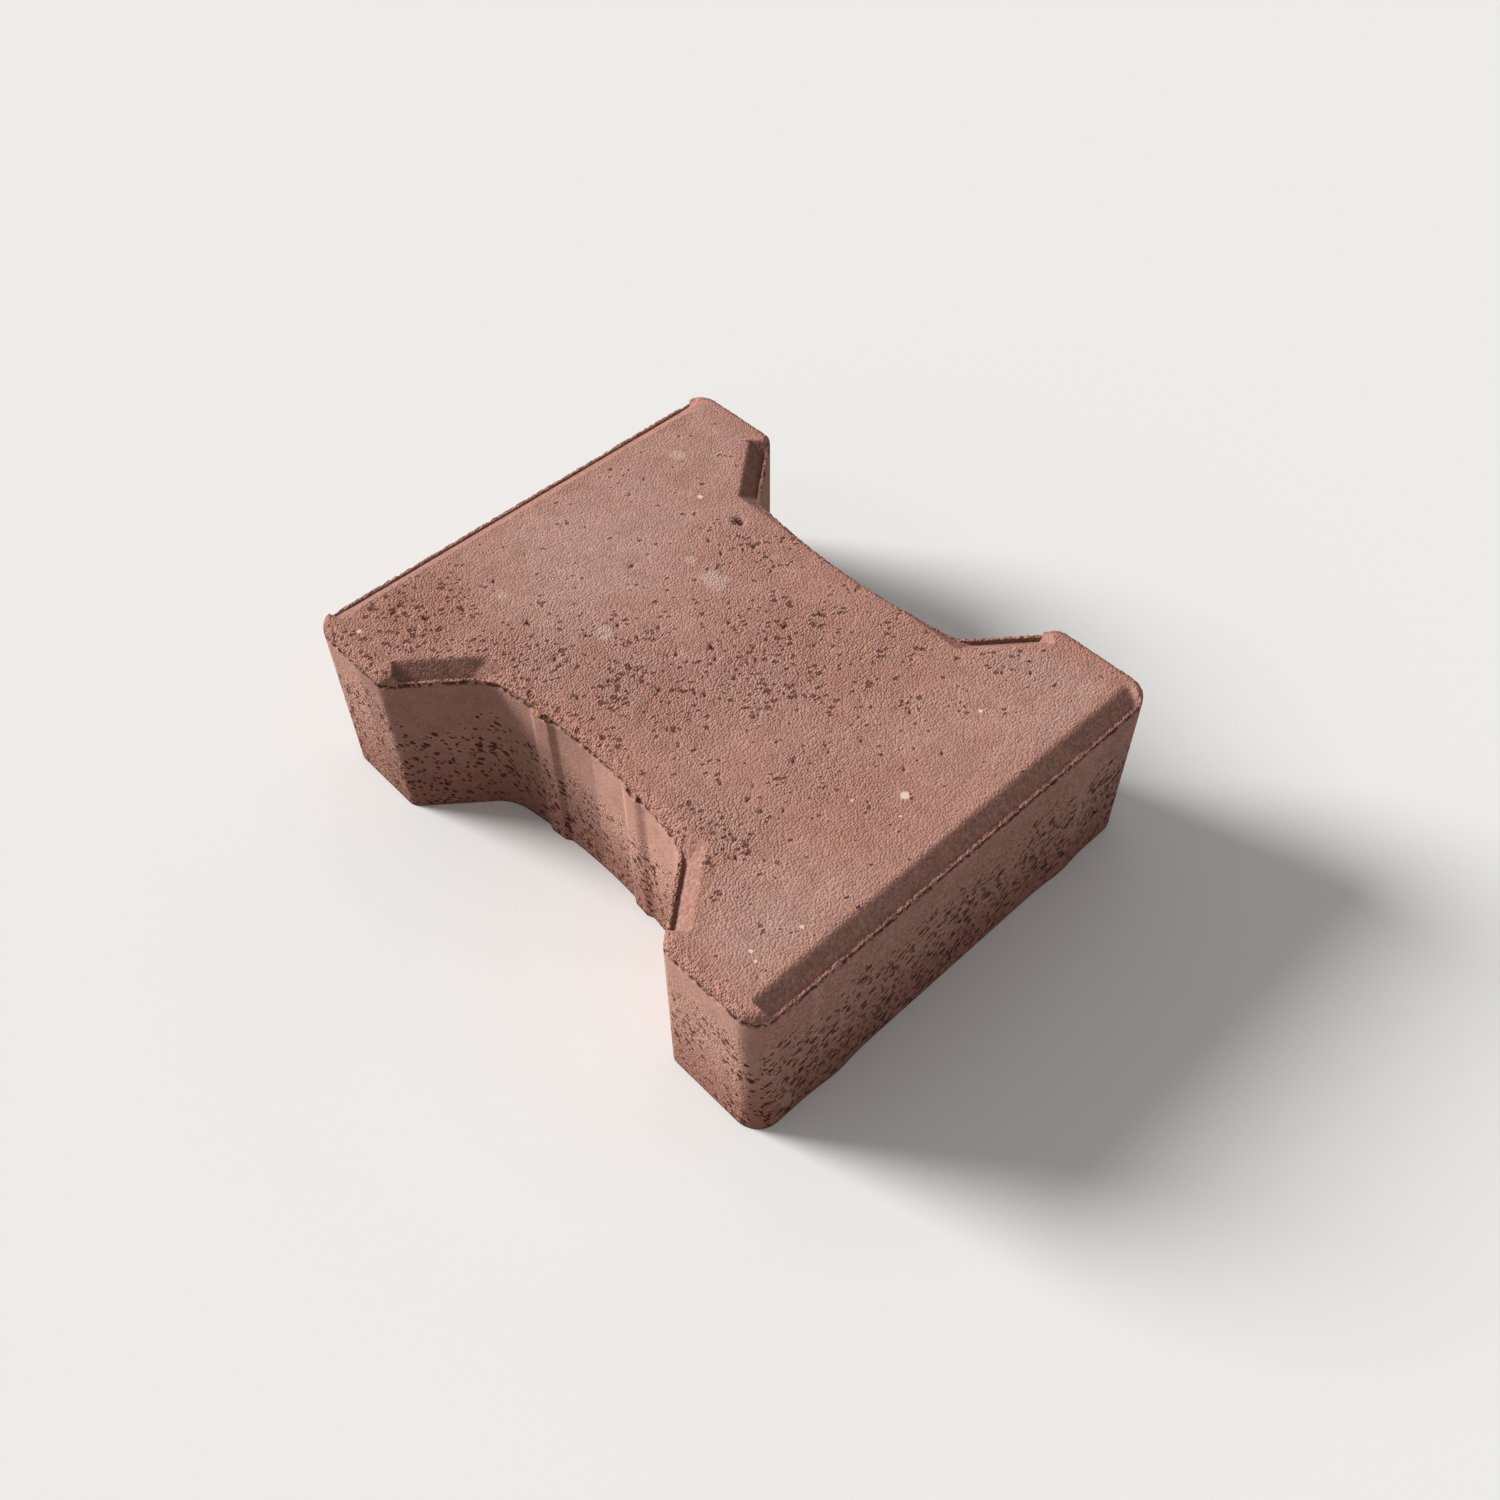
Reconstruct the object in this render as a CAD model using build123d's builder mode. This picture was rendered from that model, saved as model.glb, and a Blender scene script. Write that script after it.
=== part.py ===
import os
from math import atan2, cos, degrees, hypot, radians, sin

from build123d import *

# Interlocking concrete paving stone with an I-shaped plan.
# The origin is the middle of the underside. X runs along the stone from end to end,
# Y runs across it from flange side to flange side, and Z is up. Millimetres.

# Overall sizes, without the spacer ribs
stone_length = 197.0
stone_width = 162.0
stone_height = 62.0

# Plan of the flanges and the waist
flange_side_length = 35.2
waist_width = 103.5
waist_scoop = 4.25
waist_corner_span = 85.5
end_corner_radius = 8.0
shoulder_radius = 4.5
waist_fillet_radius = 15.0

# Top edge: rounded all round, and bevelled along the two ends and the four slanted faces.
# Each bevel falls into a groove behind a low lip, which is as high as the foot of the
# rounding and follows the stone's outline.
top_edge_radius = 3.0
bevel_width = 7.0
end_bevel_depth = 3.9
slant_bevel_depth = 4.9
lip_width = 1.3
overcut = 16.0

# The bevels stop short of the corners, at closing planes that lean this far from upright
end_bevel_length = 152.0
slant_bevel_gap = 4.0
bevel_end_lean = 30.0
waist_runout_inset = 0.75
waist_runout_lean = 60.0

# Spacer ribs: low upright pads with sloping flanks, on the waist walls and on the ends
rib_width = 10.5
rib_flank_width = 2.4
rib_projection = 1.2
rib_root = 4.0
rib_top_slope = 45.0
waist_rib_spacing = 40.2
waist_rib_shift = -1.4
waist_rib_top_gap = 0.5
end_rib_spacing = 100.0
end_rib_top_gap = 3.0

# Derived sizes
half_length = stone_length / 2
half_width = stone_width / 2
shoulder_x = half_length - flange_side_length
neck_x = waist_corner_span / 2
neck_y = waist_width / 2 + waist_scoop
slant_length = hypot(shoulder_x - neck_x, half_width - neck_y)
slant_angle = atan2(half_width - neck_y, shoulder_x - neck_x)
slant_gap_x = shoulder_x - slant_bevel_gap * cos(slant_angle)
slant_gap_y = half_width - slant_bevel_gap * sin(slant_angle)
waist_arc_radius = (neck_x**2 + waist_scoop**2) / (2 * waist_scoop)
waist_arc_centre_y = waist_width / 2 + waist_arc_radius
waist_rib_height = stone_height - top_edge_radius - waist_rib_top_gap
end_rib_height = stone_height - end_bevel_depth - end_rib_top_gap


def corners_at(corners, x):
    """The corners of the plan that lie at x on either side of the middle."""
    nearest = lip_width
    return corners.filter_by(lambda v: abs(abs(v.X) - x) < nearest and abs(v.Y) > nearest)


def bevel_profile(depth, floor):
    """Section of a bevel of the given depth, cut down only to the floor.

    Out from the stone's face is -X, and the top face is at Y 0.
    """
    return [
        (bevel_width, 0),
        (bevel_width - (bevel_width - lip_width) * floor / depth, -floor),
        (-overcut, -floor),
        (-overcut, overcut),
        (bevel_width, overcut),
    ]


def closing_plane(x, y, outward, lean):
    """Plane that ends a bevel at a point of the top face and leans in below it."""
    level, fall = cos(radians(lean)), sin(radians(lean))
    return Plane(
        origin=(x, y, stone_height), z_dir=(level * outward[0], level * outward[1], -fall)
    )


def waist_rib_place(x):
    """Where a rib stands on the near waist wall at x, turned square to the wall."""
    turn = atan2(x, (waist_arc_radius**2 - x**2) ** 0.5)
    across = waist_arc_radius * sin(turn)
    inward = waist_arc_radius * cos(turn) - waist_arc_centre_y
    return Location((across, inward), -degrees(turn))


# Plan of the stone: one quarter, mirrored both ways, with its upright corners rounded
with BuildSketch(Plane.XY) as plan:
    with BuildLine():
        RadiusArc((neck_x, neck_y), (0, waist_width / 2), waist_arc_radius)
        Polyline(
            (neck_x, neck_y),
            (shoulder_x, half_width),
            (half_length, half_width),
            (half_length, 0),
            (0, 0),
            (0, waist_width / 2),
        )
    make_face()
    mirror(about=Plane.YZ)
    mirror(about=Plane.XZ)
    fillet(corners_at(plan.vertices(), half_length), end_corner_radius)
    fillet(corners_at(plan.vertices(), shoulder_x), shoulder_radius)
    fillet(corners_at(plan.vertices(), neck_x), waist_fillet_radius)

# All that lies inside the lips
with BuildPart() as inside_lips:
    with BuildSketch(Plane.XY):
        add(plan.sketch)
        offset(amount=-lip_width)
    extrude(amount=stone_height + overcut)

# Bevel along an end: the groove inside the lip, and the slope above the lip
with BuildPart() as end_bevel:
    end_section = Plane(
        origin=(half_length, 0, stone_height), x_dir=(-1, 0, 0), z_dir=(0, 1, 0)
    )
    with BuildSketch(end_section):
        Polygon(*bevel_profile(end_bevel_depth, end_bevel_depth), align=None)
    extrude(amount=half_width, both=True)
    add(inside_lips.part, mode=Mode.INTERSECT)
    with BuildSketch(end_section):
        Polygon(*bevel_profile(end_bevel_depth, top_edge_radius), align=None)
    extrude(amount=half_width, both=True)
    for side in (1, -1):
        end_line = closing_plane(half_length, side * end_bevel_length / 2, (0, side), bevel_end_lean)
        split(bisect_by=end_line, keep=Keep.BOTTOM)

# Bevel along a slanted face, which turns the corner and runs out into the waist
with BuildPart() as slant_bevel:
    slant_section = Plane(
        origin=(shoulder_x, half_width, stone_height),
        x_dir=(sin(slant_angle), -cos(slant_angle), 0),
        z_dir=(-cos(slant_angle), -sin(slant_angle), 0),
    )
    with BuildSketch(slant_section):
        Polygon(*bevel_profile(slant_bevel_depth, slant_bevel_depth), align=None)
    extrude(amount=slant_length + overcut)
    add(inside_lips.part, mode=Mode.INTERSECT)
    with BuildSketch(slant_section):
        Polygon(*bevel_profile(slant_bevel_depth, top_edge_radius), align=None)
    extrude(amount=slant_length + overcut)
    shoulder_line = closing_plane(
        slant_gap_x, slant_gap_y, (cos(slant_angle), sin(slant_angle)), bevel_end_lean
    )
    waist_line = closing_plane(
        neck_x, waist_width / 2 - waist_runout_inset, (0, -1), waist_runout_lean
    )
    split(bisect_by=shoulder_line, keep=Keep.BOTTOM)
    split(bisect_by=waist_line, keep=Keep.BOTTOM)

with BuildPart() as paving_stone:
    # Body, with a rounded rim all round the top face
    with BuildSketch(Plane.XY):
        add(plan.sketch)
    extrude(amount=stone_height)
    fillet(paving_stone.faces().sort_by(Axis.Z)[-1].edges(), top_edge_radius)

    # Bevels on both ends and on the four slanted faces
    add(end_bevel.part, mode=Mode.SUBTRACT)
    add(end_bevel.part.mirror(Plane.YZ), mode=Mode.SUBTRACT)
    add(slant_bevel.part, mode=Mode.SUBTRACT)
    add(slant_bevel.part.mirror(Plane.YZ), mode=Mode.SUBTRACT)
    add(slant_bevel.part.mirror(Plane.XZ), mode=Mode.SUBTRACT)
    add(slant_bevel.part.mirror(Plane.YZ).mirror(Plane.XZ), mode=Mode.SUBTRACT)

    # Spacer ribs: two on the near waist wall and two on one end, repeated half a turn round.
    # Each rises square, and its top slopes back to the wall.
    waist_ribs = [
        waist_rib_place(waist_rib_shift - waist_rib_spacing / 2),
        waist_rib_place(waist_rib_shift + waist_rib_spacing / 2),
    ]
    end_ribs = [
        Location((half_length, -end_rib_spacing / 2), 90),
        Location((half_length, end_rib_spacing / 2), 90),
    ]
    rib_outline = [
        (-rib_width / 2, rib_root),
        (-rib_width / 2, 0),
        (-rib_width / 2 + rib_flank_width, -rib_projection),
        (rib_width / 2 - rib_flank_width, -rib_projection),
        (rib_width / 2, 0),
        (rib_width / 2, rib_root),
    ]
    for ribs, height in [(waist_ribs, waist_rib_height), (end_ribs, end_rib_height)]:
        shaft = height - rib_projection
        for start, rise, slope in [(0, shaft, 0), (shaft, rib_projection, rib_top_slope)]:
            with BuildSketch(Plane.XY.offset(start)):
                with PolarLocations(0, 2):
                    with Locations(*ribs):
                        Polygon(*rib_outline, align=None)
            extrude(amount=rise, taper=slope)

paving_stone.part.label = "paving_stone"
os.makedirs("parts", exist_ok=True)
export_step(paving_stone.part, "parts/paving_stone.step")
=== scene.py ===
import math

import bmesh
import bpy
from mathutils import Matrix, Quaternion, Vector, noise


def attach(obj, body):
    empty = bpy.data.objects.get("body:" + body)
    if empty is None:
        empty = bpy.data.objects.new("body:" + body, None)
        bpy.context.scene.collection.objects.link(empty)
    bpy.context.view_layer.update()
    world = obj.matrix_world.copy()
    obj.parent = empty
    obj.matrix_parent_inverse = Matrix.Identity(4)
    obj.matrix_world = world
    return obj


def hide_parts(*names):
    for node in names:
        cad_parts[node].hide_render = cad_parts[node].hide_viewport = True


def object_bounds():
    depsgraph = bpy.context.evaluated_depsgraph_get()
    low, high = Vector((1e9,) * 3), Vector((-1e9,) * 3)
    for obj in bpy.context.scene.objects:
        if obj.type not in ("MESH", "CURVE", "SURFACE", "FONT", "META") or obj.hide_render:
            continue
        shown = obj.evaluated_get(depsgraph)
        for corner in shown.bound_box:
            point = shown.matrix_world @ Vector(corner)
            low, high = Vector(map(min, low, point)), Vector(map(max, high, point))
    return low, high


bl_info = {
    "name": "Interlocking paving stone",
    "version": (1, 0, 0),
    "blender": (4, 5, 0),
    "location": "View3D > Sidebar > Paving",
    "description": "Dresses one cast concrete paving stone with grain, pores and crumbly rims",
    "category": "Object",
}

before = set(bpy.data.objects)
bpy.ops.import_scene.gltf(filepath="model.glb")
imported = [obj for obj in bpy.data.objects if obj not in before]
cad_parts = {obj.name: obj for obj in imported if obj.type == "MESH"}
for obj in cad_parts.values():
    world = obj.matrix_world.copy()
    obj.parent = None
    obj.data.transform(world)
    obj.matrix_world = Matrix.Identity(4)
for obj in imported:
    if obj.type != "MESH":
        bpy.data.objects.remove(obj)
STONE_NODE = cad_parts["paving_stone"]
CAD_LOW, CAD_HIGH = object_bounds()

MM = 0.001
MOST_TRIANGLES = 200_000

# Plan and bevels of the stone, in millimetres from the middle of the underside.
# The runout is the plane on which a slanted bevel ends in the waist.
RIB_PROJECTION = 1.2
HALF_LENGTH = CAD_HIGH.x / MM - RIB_PROJECTION
HALF_WIDTH = CAD_HIGH.y / MM
TOP = CAD_HIGH.z / MM
SHOULDER_X = 63.3
NECK_X, NECK_Y = 42.75, 56.0
WAIST_Y = 51.75
BEVEL_WIDTH = 7.0
BEVEL_HALF_LENGTH = 76.0
LIP_WIDTH = 1.3
RIM_FOOT = 59.0
RUNOUT_Y, RUNOUT_SLOPE = 51.0, 1.732
SLANT = Vector((SHOULDER_X - NECK_X, HALF_WIDTH - NECK_Y))
SLANT_LENGTH = SLANT.length
SLANT.normalize()

# The limits that follow are pairs, in millimetres: where a zone of the surface begins and
# where it is whole. Ends of a bevel's slope: along the end, along the slanted face from
# its shoulder, and out from the runout
END_CLOSE = (BEVEL_HALF_LENGTH, BEVEL_HALF_LENGTH - 2.0)
SHOULDER_CLOSE = (3.5, 4.6)
RUNOUT_CLOSE = (-1.5, 0.5)

# Distances in from the nearest upright face: foot and head of the slope, lip and rim
SLOPE_FOOT = (0.8, 1.6)
SLOPE_HEAD = (BEVEL_WIDTH + 0.2, BEVEL_WIDTH - 0.3)
LIP_INSIDE = (LIP_WIDTH + 0.6, LIP_WIDTH)
RIM_INSIDE = (3.2, 2.0)
ROW_INSIDE = (1.0, 0.5)

# Heights of the slope, the rim and the upright faces. The row of pits runs below the rim's foot.
SLOPE_UPPER = (TOP, TOP - 0.5)
SLOPE_LOWER = (RIM_FOOT - 2.5, RIM_FOOT - 1.5)
RIM_LOWER = (RIM_FOOT - 1.2, RIM_FOOT - 0.2)
WALL_UPPER = (RIM_FOOT + 0.6, RIM_FOOT - 0.2)
ROW_DROP = 1.1
ROW_REACH = (1.2, 0.3)
STILL_HEIGHT = 1.0

# Parts of the normal by which a wall, an end wall and a flange side are known, and where
# along the stone the flange sides lie
WALL_TURN = (0.7, 0.3)
END_TURN = (0.75, 0.95)
SIDE_TURN = (0.85, 0.98)
SIDE_SPAN = (58, 64)

# The upright faces are porous below this height, which is greater on the flange sides and
# the end walls and drifts up and down
POROUS_HEIGHT = 48.0
SIDE_RISE = 8.0
END_RISE = 2.0
DRIFT_RISE = 7.0
POROUS_FADE = 20.0

# Places that the photo shows on the walked-on face, in millimetres: pale grains of
# aggregate with their radius, pale patches with their reach, and one deep pit
PALE_GRAINS = (
    (74.2, -0.9, 1.8), (68.4, 37.5, 0.9), (81.1, -66.2, 0.8), (84.1, -67.4, 0.7),
    (84.9, -51.6, 0.8), (-83.4, -73.6, 1.0), (-56.4, 41.8, 1.2), (65.2, -12.6, 0.6),
    (78.3, -7.0, 0.6),
)
PALE_PATCHES = (
    (-24.0, 18.8, 7.0), (-31.4, -20.4, 4.5), (-65.0, -33.2, 2.6), (-77.4, 50.7, 4.0),
    (-36.3, 19.8, 3.4),
)
DEEP_PIT = (-38.8, 43.1)
DEEP_PIT_EDGE = (2.6, 1.1)
DEEP_PIT_DEPTH = 1.4
DEEP_PIT_BAND = 4

# Places where the walked-on face is rough, where it is paler and greyer, and the corner
# where it is brown: x, y, reach and strength, in millimetres. The band along the outline
# turns brown too.
ROUGH_PLACES = (
    (-78, -62, 26, 1.0), (-38, -42, 24, 1.0), (-6, -24, 30, 0.95), (12, 8, 34, 0.9),
    (30, 26, 26, 0.75), (48, -50, 20, 0.75), (52, -10, 22, 0.45), (62, 60, 16, 0.4),
    (-25, 34, 20, 0.7),
)
GREYISH_PLACES = ((-66, 6, 36, 1.0), (-78, 58, 26, 0.6), (78, -58, 24, 0.65), (76, 54, 26, 0.6))
BROWN_PLACES = ((-84, -58, 28, 1.0),)
BROWN_BAND = (20, 3)

# Marks on the upright faces, in millimetres: across, up, half width, half height and
# strength. The first list is pale rubbed streaks and the other two are crowds of pores.
END_STREAKS = (
    (-59, 46, 1.3, 15, 0.8), (52, 32, 2.6, 16, 0.8), (-70, 10, 2.6, 5, 0.9), (46, 44, 2.2, 9, 0.5),
)
END_CROWDS = ((38, 24, 7, 11, 1.0), (70, 32, 9, 16, 0.9), (-8, 12, 16, 9, 0.7), (-62, 16, 9, 9, 0.7))
WAIST_CROWDS = ((21.6, 20, 3, 12, 1.0), (-19, 12, 3.5, 10, 1.0), (-2, 16, 8, 12, 0.15))

# How far in from the slanted faces of the left end the painted shade and dirt reach. They
# keep as far away from the end itself.
SHADE_AND_DIRT_REACH = 9.0

# Directions in which the pits and pores are drawn out: on top, on the long sides, on the ends
FACE_DRAW = (0.35, 0.94, 0.0)
SIDE_DRAW = (0.70, 0.35, -0.50)
END_DRAW = (0.0, 0.90, 0.44)

# Patterns of the relief in the mesh: the size of their lumps in millimetres, and a shift
# that keeps them from lying on each other. The rough spots are read at a level of their
# own, and the pores on places squeezed along the direction in which they are drawn out.
SAND = (2.0, (0, 0, 0))
LUMPS = (4.5, (3, 7, 1))
PITS = (2.1, (11, 2, 5))
PIT_DRIFT = (7, (0, 0, 0))
CRUMBS = (1.25, (5, 5, 5))
ROW_PITS = (1.8, (1, 8, 4))
PORES = (1.7, (9, 1, 2))
PORE_DRIFT = (8, (0, 0, 0))
POROUS_DRIFT = (16, (0, 0, 0))
DEEP_PIT_RAGS = (1.5, (0, 0, 0))
ROUGH_DRIFT = (20, (0, 0, 0))
ROUGH_SPOTS = (7, (0, 0, 0))
SPOTS_LEVEL = 9
PORE_SQUEEZE = 0.55

# Values of those patterns at which a hollow begins and is at its deepest, and how far a
# coarse place lowers the pits' values
PIT_EDGE = (0.68, 0.95)
COARSE_GAIN = 0.17
ROW_EDGE = (-0.1, 0.35)
PORE_EDGE = 0.74
POROUS_GAIN = 0.24
DENSE_GAIN = 0.08
PORE_SOFTNESS = 0.24
PORES_BEGUN = (0.0, 0.15)
CRUMB_SHARE = 0.25

# Patterns of the material, in millimetres
BROAD_CLOUDS = 26
PATCHES = 6
BLOTS = 1.5
STREAKS = 0.8
BEADS = 0.7
BEAD_RELIEF = 0.32

# Dots of the material. The pits on top: stretch, spacing in millimetres, extra share and
# radius within the spacing. The pores of the upright faces: the same, with one stretch
FACE_DOTS = ((1.4, 2.0, 0.0, 0.39), (1.7, 1.2, 0.04, 0.42))
WALL_STRETCH = 1.9
WALL_DOTS = ((2.2, 0.0, 0.38), (1.25, 0.1, 0.38))

# Heights in the material: the walls darken towards the foot, partly by their own colour and
# partly by painted shade near the ground, and the painted row of pits begins and ends below
# the rims, lower down on the far end
FOOT_SHADE = (34, 3)
ROW_FOOT = (56.7, 57.5)
ROW_HEAD = (59.1, 58.5)
FAR_END = (-95, -97)
FAR_ROW_DROP = 0.7
GRAIN_SINK = 0.2

# Layers of the mesh that tell the material how far each zone reaches
ZONES = (
    "upright", "strip", "coarse", "rim", "pit", "end_wall", "porous", "warm", "dense", "streak",
    "shade_and_dirt",
)

# Colour sockets and vector sockets of the Mix node: first, second and result
MIX_SOCKETS = {"RGBA": (6, 7, 2), "VECTOR": (4, 5, 1)}

# Merging and cutting of the cast shape, in millimetres. The cells of the walls are taller
# than they are wide by a factor.
MERGE_DISTANCE = 0.01
FLAT_ANGLE = math.radians(0.6)
CUT_TOLERANCE = 0.002
SHORTEST_EDGE = 0.15
FOOT_BAND = 0.5
WALL_CELL = 1.1
RIM_BAND = 2.5
FINE_DEPTH = 1.6
FINE_INSIDE = 2.2

# Places that are softened, in millimetres: how far they reach down from the rim's foot,
# in from the upright faces and along them, and where the spacer ribs stand
SOFT_DEPTH = 3.0
SOFT_RIM = 5.0
SOFT_LIP = 3.6
SOFT_BEVEL = BEVEL_WIDTH + 2
SOFT_RUNOUT = 6.5
SOFT_CORNER = 3.5
SOFT_FAR_CORNER = 6
WAIST_RIB_SPAN = (12, 31)
END_RIB_SPAN = (38, 62)
RIB_INSIDE = 0.6

# How many times each of them is smoothed: the far lip is worn and the end ribs are faint
SOFT_ROUNDS = {
    "rims": 1, "bevel_ends": 1, "far_lip": 6, "far_corners": 14, "waist_ribs": 1, "end_ribs": 90,
}

SENSOR_WIDTH = 36.0
NEAREST_VIEW = 0.01
FLOOR_REACH = 3.0


# Settings


class StoneSizes(bpy.types.PropertyGroup):
    """Sizes of the relief on the cast stone."""

    cell: bpy.props.FloatProperty(
        name="Cell", description="Spacing of the cuts that carry the relief",
        default=1.19 * MM, min=0.5 * MM, unit="LENGTH",
    )
    rim_cell: bpy.props.FloatProperty(
        name="Rim cell", description="Spacing of the level cuts through the rim",
        default=0.9 * MM, min=0.4 * MM, unit="LENGTH",
    )
    grain_depth: bpy.props.FloatProperty(
        name="Grain depth", description="Depth of the sand grain on the walked-on face",
        default=0.12 * MM, min=0.0, unit="LENGTH",
    )
    pit_depth: bpy.props.FloatProperty(
        name="Pit depth", description="Depth of the larger pits",
        default=0.8 * MM, min=0.0, unit="LENGTH",
    )
    crumb_depth: bpy.props.FloatProperty(
        name="Crumb depth", description="How far crumbs have broken out of the rims",
        default=0.78 * MM, min=0.0, unit="LENGTH",
    )
    pore_depth: bpy.props.FloatProperty(
        name="Pore depth", description="Depth of the drawn-out pores of the upright faces",
        default=0.7 * MM, min=0.0, unit="LENGTH",
    )


class StoneColours(bpy.types.PropertyGroup):
    """Colours of the concrete."""

    terracotta: bpy.props.FloatVectorProperty(
        name="Terracotta", description="Warm brown of the pigmented concrete",
        default=(0.405, 0.195, 0.146), subtype="COLOR", min=0.0, max=1.0,
    )
    greyish_pink: bpy.props.FloatVectorProperty(
        name="Greyish pink", description="Paler, greyer patches of the walked-on face",
        default=(0.45, 0.262, 0.214), subtype="COLOR", min=0.0, max=1.0,
    )
    strip_brown: bpy.props.FloatVectorProperty(
        name="Strip brown", description="Smooth slopes of the bevels",
        default=(0.335, 0.172, 0.134), subtype="COLOR", min=0.0, max=1.0,
    )
    wall_pink: bpy.props.FloatVectorProperty(
        name="Wall pink", description="Smooth upper part of the upright faces",
        default=(0.492, 0.270, 0.209), subtype="COLOR", min=0.0, max=1.0,
    )
    wall_red: bpy.props.FloatVectorProperty(
        name="Wall red", description="Porous lower part of the upright faces",
        default=(0.515, 0.284, 0.218), subtype="COLOR", min=0.0, max=1.0,
    )
    # Partly the foot's own colour, partly painted shade near the ground
    foot_brown_and_shade: bpy.props.FloatVectorProperty(
        name="Foot brown", description="Darker foot of the upright faces",
        default=(0.32, 0.135, 0.098), subtype="COLOR", min=0.0, max=1.0,
    )
    rubbed_pink: bpy.props.FloatVectorProperty(
        name="Rubbed pink", description="Pale rubbed streaks on the end wall",
        default=(0.60, 0.40, 0.33), subtype="COLOR", min=0.0, max=1.0,
    )
    # Painted shade of the notches at the left end, with some dirt: darkens their slanted walls and
    # slopes
    shade_and_dirt_brown: bpy.props.FloatVectorProperty(
        name="Grime brown", description="Dirt on the slanted faces of the left end",
        default=(0.14, 0.062, 0.046), subtype="COLOR", min=0.0, max=1.0,
    )
    # Painted shade inside the pits, the pores and the row of pits under the rims
    hollow_shade: bpy.props.FloatVectorProperty(
        name="Pore", description="Colour inside the pores",
        default=(0.07, 0.017, 0.009), subtype="COLOR", min=0.0, max=1.0,
    )
    pale_grain: bpy.props.FloatVectorProperty(
        name="Pale grain", description="Colour of pale grains of aggregate",
        default=(0.80, 0.62, 0.52), subtype="COLOR", min=0.0, max=1.0,
    )
    pale_patch: bpy.props.FloatVectorProperty(
        name="Pale patch", description="Small pale patches of the walked-on face",
        default=(0.56, 0.38, 0.31), subtype="COLOR", min=0.0, max=1.0,
    )


class StudioSettings(bpy.types.PropertyGroup):
    """Camera, light and floor."""

    azimuth: bpy.props.FloatProperty(
        name="Azimuth", description="Side from which the camera looks",
        default=math.radians(46.97), subtype="ANGLE",
    )
    elevation: bpy.props.FloatProperty(
        name="Elevation", description="Height of the camera above the horizon",
        default=math.radians(50.62), subtype="ANGLE",
    )
    roll: bpy.props.FloatProperty(
        name="Roll", description="Turn of the camera about its own line of sight",
        default=math.radians(-0.75), subtype="ANGLE",
    )
    place: bpy.props.FloatVectorProperty(
        name="Place", description="Where the camera stands",
        default=(0.2337, -0.2079, 0.3967), subtype="TRANSLATION",
    )
    lens: bpy.props.FloatProperty(
        name="Lens", description="Focal length on a 36 mm sensor",
        default=36.70, unit="CAMERA",
    )
    key_strength: bpy.props.FloatProperty(
        name="Key", description="Strength of the soft key light", default=4.9, min=0.0,
    )
    key_azimuth: bpy.props.FloatProperty(
        name="Key azimuth", description="Side from which the key light shines",
        default=math.radians(-63.0), subtype="ANGLE",
    )
    key_elevation: bpy.props.FloatProperty(
        name="Key elevation", description="Height of the key light above the horizon",
        default=math.radians(26.5), subtype="ANGLE",
    )
    key_softness: bpy.props.FloatProperty(
        name="Key softness", description="Angle that the key light spans",
        default=math.radians(22.0), subtype="ANGLE",
    )
    fill_strength: bpy.props.FloatProperty(
        name="Fill", description="Strength of the even light from all round",
        default=0.36, min=0.0,
    )
    floor_colour: bpy.props.FloatVectorProperty(
        name="Floor", description="Colour of the floor as the camera sees it",
        default=(0.80, 0.79, 0.77), subtype="COLOR", min=0.0, max=1.0,
    )
    floor_bounce: bpy.props.FloatVectorProperty(
        name="Floor bounce", description="Colour of the light that the floor throws back",
        default=(0.31, 0.272, 0.268), subtype="COLOR", min=0.0, max=1.0,
    )


# Where a place lies on the stone


def smooth_step(low, high, value):
    """Rises from 0 at low to 1 at high, or falls where low is the larger."""
    share = min(max((value - low) / (high - low), 0.0), 1.0)
    return share * share * (3.0 - 2.0 * share)


def inside_by(x, y):
    """How far a place lies in from the end, the flange side, the slanted face and the waist."""
    x, y = abs(x), abs(y)
    slant = (x - SHOULDER_X) * SLANT.y - (y - HALF_WIDTH) * SLANT.x
    waist = WAIST_Y + (NECK_Y - WAIST_Y) * (x / NECK_X) ** 2 - y
    return HALF_LENGTH - x, HALF_WIDTH - y, slant, waist


def inside_outline(x, y):
    """How far a place lies in from the nearest upright face."""
    end, side, slant, waist = inside_by(x, y)
    return min(end, side, max(slant, waist))


def along_slant(x, y):
    """How far a place lies along the slanted face from its shoulder."""
    return (SHOULDER_X - abs(x)) * SLANT.x + (HALF_WIDTH - abs(y)) * SLANT.y


def bevel_shares(x, y, z):
    """How far a place belongs to the smooth slope of a bevel, and to the lip at its foot."""
    end, _, slant, _ = inside_by(x, y)
    runout = abs(y) - RUNOUT_Y - RUNOUT_SLOPE * (TOP - z)
    end_span = smooth_step(*END_CLOSE, abs(y))
    slant_span = smooth_step(*SHOULDER_CLOSE, along_slant(x, y))
    slant_span *= smooth_step(*RUNOUT_CLOSE, runout)
    strip = lip = 0.0
    for inward, span in ((end, end_span), (slant, slant_span)):
        slope = smooth_step(*SLOPE_FOOT, inward) * smooth_step(*SLOPE_HEAD, inward)
        strip = max(strip, slope * span)
        lip = max(lip, smooth_step(*LIP_INSIDE, inward) * span)
    return strip, lip


def pattern(p, kind):
    """Smooth noise from about -1 to 1 at a place in millimetres."""
    size, shift = kind
    return noise.noise(p / size + Vector(shift))


def patch_share(places, x, y):
    """How much a place on the walked-on face belongs to the nearest of the round patches."""
    return max(
        strength * math.exp(-(((x - px) ** 2 + (y - py) ** 2) / reach**2))
        for px, py, reach, strength in places
    )


def mark_share(places, across, up):
    """How much a place on an upright face belongs to the nearest of the marks."""
    return max(
        strength * math.exp(-(((across - a) / wide) ** 2 + ((up - b) / high) ** 2))
        for a, b, wide, high, strength in places
    )


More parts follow.
